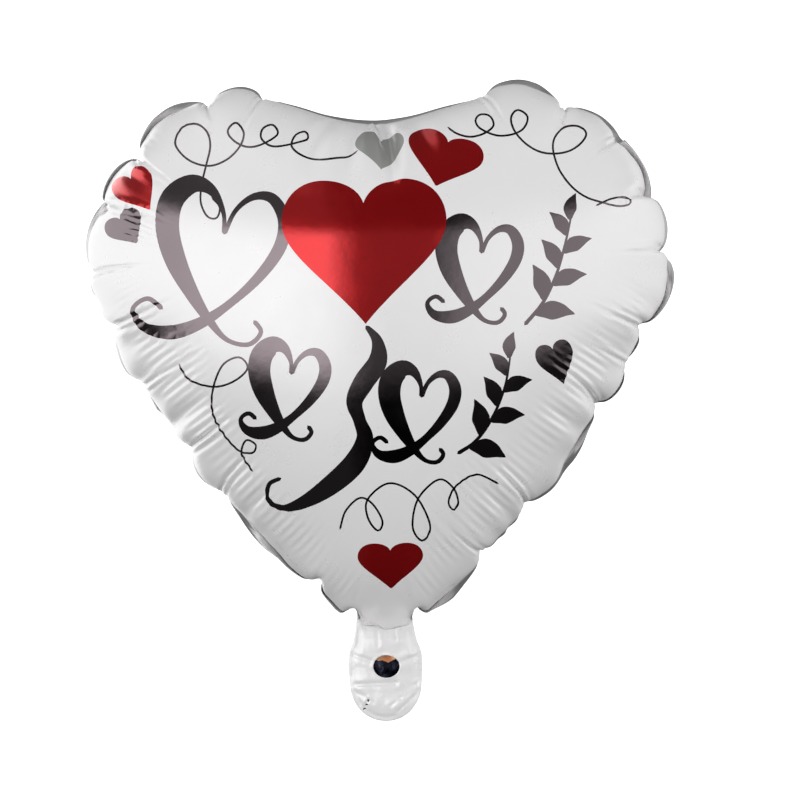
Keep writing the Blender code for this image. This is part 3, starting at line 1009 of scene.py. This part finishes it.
class Shader:
    """A node material under construction, with textures in the object's own coordinates."""

    def __init__(self, name, **settings):
        self.material = bpy.data.materials.new(name)
        self.material.use_nodes = True
        self.tree = self.material.node_tree
        self.links = self.tree.links
        self.surface = self.tree.nodes["Principled BSDF"]
        for socket, value in settings.items():
            self.surface.inputs[socket.replace("_", " ")].default_value = value
        self.place = add_node(self.tree, "TexCoord").outputs["Object"]

    def noise(self, scale, detail=3.0, distortion=0.0):
        node = add_node(self.tree, "TexNoise", Scale=scale, Detail=detail,
                        Roughness=0.55, Distortion=distortion)
        self.links.new(self.place, node.inputs["Vector"])
        return node.outputs["Fac"]

    def bands(self, scale, distortion):
        node = add_node(self.tree, "TexWave", Scale=scale, Distortion=distortion)
        node.bands_direction = "DIAGONAL"
        self.links.new(self.place, node.inputs["Vector"])
        return node.outputs["Fac"]

    def between(self, factor, low, high, socket):
        """Sends a texture, spread between two values or two colours, to one of the surface's sockets."""
        ramp = add_node(self.tree, "ValToRGB")
        for stop, value in zip(ramp.color_ramp.elements, (low, high)):
            stop.color = (*value, 1) if isinstance(value, tuple) else (value, value, value, 1)
        ramp.color_ramp.elements[0].position = 0.3
        ramp.color_ramp.elements[1].position = 0.7
        self.links.new(factor, ramp.inputs["Fac"])
        self.links.new(ramp.outputs["Color"], self.surface.inputs[socket])

    def bump(self, height, strength, distance, normal=None):
        node = add_node(self.tree, "Bump", Strength=strength, Distance=distance)
        self.links.new(height, node.inputs["Height"])
        if normal:
            self.links.new(normal, node.inputs["Normal"])
        self.links.new(node.outputs["Normal"], self.surface.inputs["Normal"])
        return node.outputs["Normal"]


def film_material(name, colour, dark, metallic, roughness, spread, coat):
    """Printed or plain foil: slightly uneven gloss, faint clouding and the fine grain of the rolled film."""
    shader = Shader(name, Metallic=metallic, Coat_Weight=coat, Coat_Roughness=0.08)
    shader.between(shader.noise(14), dark, colour, "Base Color")
    shader.between(shader.noise(60, distortion=0.4), roughness - spread, roughness + spread, "Roughness")
    soft = shader.bump(shader.noise(95, 2.0), 0.35, 0.0003)
    shader.bump(shader.noise(1400, 2.0), 0.5, 0.00002, soft)
    return shader.material


def margin_material():
    """The heat-sealed margin: bare bright foil with the fine ribs of the sealing bar."""
    shader = Shader("sealed_margin_foil", Metallic=0.8)
    shader.between(shader.noise(30), (0.60, 0.59, 0.60), (0.78, 0.77, 0.78), "Base Color")
    shader.between(shader.noise(80), 0.26, 0.4, "Roughness")
    shader.bump(shader.bands(420, 0.6), 0.3, 0.00012)
    return shader.material


def inner_film_material():
    """The foil's inner side that shows inside the tail, painted dark as the shade between the tail's two
    sheets.
    """
    shader = Shader("dark_inner_film_painted_shade", Metallic=1.0)
    clouds = shader.noise(120, 4.0, distortion=1.2)
    shader.between(clouds, (0.02, 0.024, 0.05), (0.10, 0.11, 0.16), "Base Color")
    shader.between(shader.noise(200), 0.12, 0.3, "Roughness")
    shader.bump(shader.noise(160, 3.0), 0.6, 0.0008)
    return shader.material


def gleam_material():
    """The inner foil where it catches warm light, painted on as a highlight: a copper tint that pales to
    cream.
    """
    shader = Shader("inner_film_painted_warm_highlight", Metallic=0.3)
    clouds = shader.noise(150, 3.0, distortion=0.8)
    shader.between(clouds, (0.80, 0.22, 0.06), (0.98, 0.62, 0.38), "Base Color")
    shader.between(shader.noise(200), 0.25, 0.4, "Roughness")
    shader.bump(shader.noise(160, 3.0), 0.5, 0.0006)
    return shader.material


def valve_material(name, colour, dark, roughness):
    """Thin clear-grey valve film with drawn streaks."""
    shader = Shader(name, Roughness=roughness)
    shader.between(shader.bands(90, 3.0), dark, colour, "Base Color")
    shader.bump(shader.noise(500), 0.3, 0.0001)
    return shader.material


# -------- building the balloon

# In the order of the ink numbers: name, colour, darker colour, metallic, roughness, its spread, and coat
FOILS = (("white_satin_foil", (0.88, 0.868, 0.875), (0.855, 0.843, 0.852), 0.22, 0.30, 0.04, 0.0),
         ("red_foil_print", (0.80, 0.017, 0.022), (0.74, 0.013, 0.017), 0.8, 0.13, 0.03, 1.0),
         ("black_foil_print", (0.31, 0.26, 0.28), (0.27, 0.225, 0.24), 1.0, 0.13, 0.03, 0.0),
         ("silver_foil_print", (0.44, 0.45, 0.43), (0.39, 0.40, 0.385), 0.45, 0.2, 0.04, 0.0))


def dress_valve():
    """Materials for the CAD valve, which has no piece of its own here."""
    valve = valve_material("valve_film", (0.80, 0.82, 0.84), (0.72, 0.74, 0.76), 0.25)
    coat = valve_material("release_coat", (0.84, 0.78, 0.60), (0.76, 0.70, 0.52), 0.5)
    for node, material in (("valve_front_film", valve), ("valve_back_film", valve),
                           ("valve_release_coat", coat)):
        for material_slot in bpy.data.objects[node].material_slots:
            material_slot.material = material


def build():
    inks = [film_material(*foil) for foil in FOILS]
    white = inks[WHITE]
    dark = inner_film_material()

    (film, shape), (coarse, coarse_shape) = filled_film()
    shape, coarse_shape = fitted(film, [shape, coarse_shape])
    layout = Layout(coarse, coarse_shape)
    printed = flat_print_mesh(layout, ornaments())
    rim = smooth_loop(shape[:film.ring_count], printed[3])
    crease = crease_height(film, shape)

    front = heart_sheet("front_foil", film, shape, printed, rim, True, inks)
    back = heart_sheet("back_foil", film, shape, printed, rim, False, inks)
    band = margin_band(film, shape, rim, [margin_material()])
    tail_front = tail_sheet("tail_front_film", -1, crease, FRONT_FOLDS, True, [white, dark])
    tail_back = tail_sheet("tail_back_film", 1, crease, BACK_FOLDS, False, [white, dark, gleam_material()])
    seam = tail_seam(crease, [white])

    for piece, node, slot in ((front, "front_panel", "front_foil"), (back, "back_panel", "back_foil"),
                              (band, "perimeter_seal", "weld_margin")):
        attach(piece, "balloon")
        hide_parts(node)
    for piece, node in ((tail_front, "tail_front_sheet"), (tail_back, "tail_back_sheet"),
                        (seam, "tail_seal")):
        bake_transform(piece)
        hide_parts(node)
    dress_valve()


# -------- studio

CAMERA_X = 0.012
CAMERA_ROLL = 1.0
DOME_RADIUS = 3.2
DOME_Z = 0.17
FLOOR_Z = -0.42
# Brightness of the studio as gloss sees it: by height of the direction, and from left to right
REFLECTED = ((0.0, 0.02), (0.33, 0.03), (0.365, 0.5), (0.40, 1.0), (0.72, 1.0), (0.74, 0.4), (0.755, 0.09),
             (0.86, 0.09), (0.94, 0.25), (1.0, 0.30))
SIDEWAYS = ((0.0, 1.0), (0.30, 1.35), (0.395, 1.40), (0.425, 0.5), (0.455, 0.12), (0.60, 0.10), (0.635, 0.25),
            (0.67, 0.50), (1.0, 0.65))
SKY = ((0.0, 0.46), (0.30, 0.60), (0.42, 1.34), (0.55, 1.62), (0.72, 1.32), (0.85, 0.90), (1.0, 0.62))


def brightness_ramp(tree, source, axis, stops):
    """Nodes that turn one part of a direction into a grey brightness, halved to stay in a ramp's range."""
    split = add_node(tree, "SeparateXYZ")
    ramp = add_node(tree, "ValToRGB")
    half = add_node(tree, "Math")
    half.operation = "MULTIPLY_ADD"
    half.inputs[1].default_value = 0.5
    half.inputs[2].default_value = 0.5
    tree.links.new(source, split.inputs[0])
    tree.links.new(split.outputs[axis], half.inputs[0])
    tree.links.new(half.outputs[0], ramp.inputs["Fac"])
    elements = ramp.color_ramp.elements
    while len(elements) < len(stops):
        elements.new(0.5)
    for element, (position, value) in zip(elements, stops):
        element.position = position
        element.color = (value / 2, value / 2, value / 2, 1)
    return ramp.outputs["Color"]


def reflector():
    """A dome that only reflections see: it stands for the dark room and the bright studio sweep."""
    mesh = bpy.data.meshes.new("reflector")
    build_mesh = bmesh.new()
    bmesh.ops.create_uvsphere(build_mesh, u_segments=64, v_segments=32, radius=1.0)
    build_mesh.to_mesh(mesh)
    build_mesh.free()
    mesh.shade_smooth()
    item = new_object("reflector", mesh)
    item.location = (0, 0, DOME_Z)
    item.scale = (DOME_RADIUS,) * 3
    for ray in ("camera", "diffuse", "transmission", "volume_scatter", "shadow"):
        setattr(item, "visible_" + ray, False)
    material = bpy.data.materials.new("reflector")
    material.use_nodes = True
    tree = material.node_tree
    tree.nodes.clear()
    place = add_node(tree, "TexCoord").outputs["Object"]
    glow = add_node(tree, "Emission", Strength=4.0)
    both = add_node(tree, "VectorMath")
    both.operation = "MULTIPLY"
    tree.links.new(brightness_ramp(tree, place, "Z", REFLECTED), both.inputs[0])
    tree.links.new(brightness_ramp(tree, place, "X", SIDEWAYS), both.inputs[1])
    tree.links.new(both.outputs[0], glow.inputs["Color"])
    tree.links.new(glow.outputs[0], add_node(tree, "OutputMaterial").inputs["Surface"])
    mesh.materials.append(material)


def floor():
    """A wide white floor, bright enough to melt into the white surround."""
    mesh = bpy.data.meshes.new("floor")
    mesh.from_pydata([(-30, -30, 0), (30, -30, 0), (30, 30, 0), (-30, 30, 0)], [], [(0, 1, 2, 3)])
    shader = Shader("white_floor", Base_Color=(0.85, 0.85, 0.85, 1), Roughness=0.9)
    shader.surface.inputs["Emission Color"].default_value = (1, 1, 1, 1)
    shader.surface.inputs["Emission Strength"].default_value = 0.45
    mesh.materials.append(shader.material)
    item = new_object("floor", mesh)
    item.location.z = FLOOR_Z
    item.visible_glossy = False
    item.visible_diffuse = False


def studio():
    scene = bpy.context.scene
    scene.view_settings.view_transform = "Standard"
    world = bpy.data.worlds.new("studio")
    world.use_nodes = True
    tree = world.node_tree
    background = tree.nodes["Background"]
    direction = add_node(tree, "TexCoord").outputs["Generated"]
    tree.links.new(brightness_ramp(tree, direction, "Z", SKY), background.inputs["Color"])
    background.inputs["Strength"].default_value = 2.0
    scene.world = world
    reflector()
    floor()


def camera():
    lens = bpy.data.cameras.new("camera")
    lens.sensor_width = 36.0
    lens.lens = 114.3
    lens.clip_end = 100.0
    item = new_object("camera", lens)
    item.location = (CAMERA_X, -EYE_DISTANCE * MM, EYE_HEIGHT * MM)
    item.rotation_euler = (math.radians(90), math.radians(CAMERA_ROLL), 0)
    bpy.context.scene.camera = item


build()
studio()
camera()
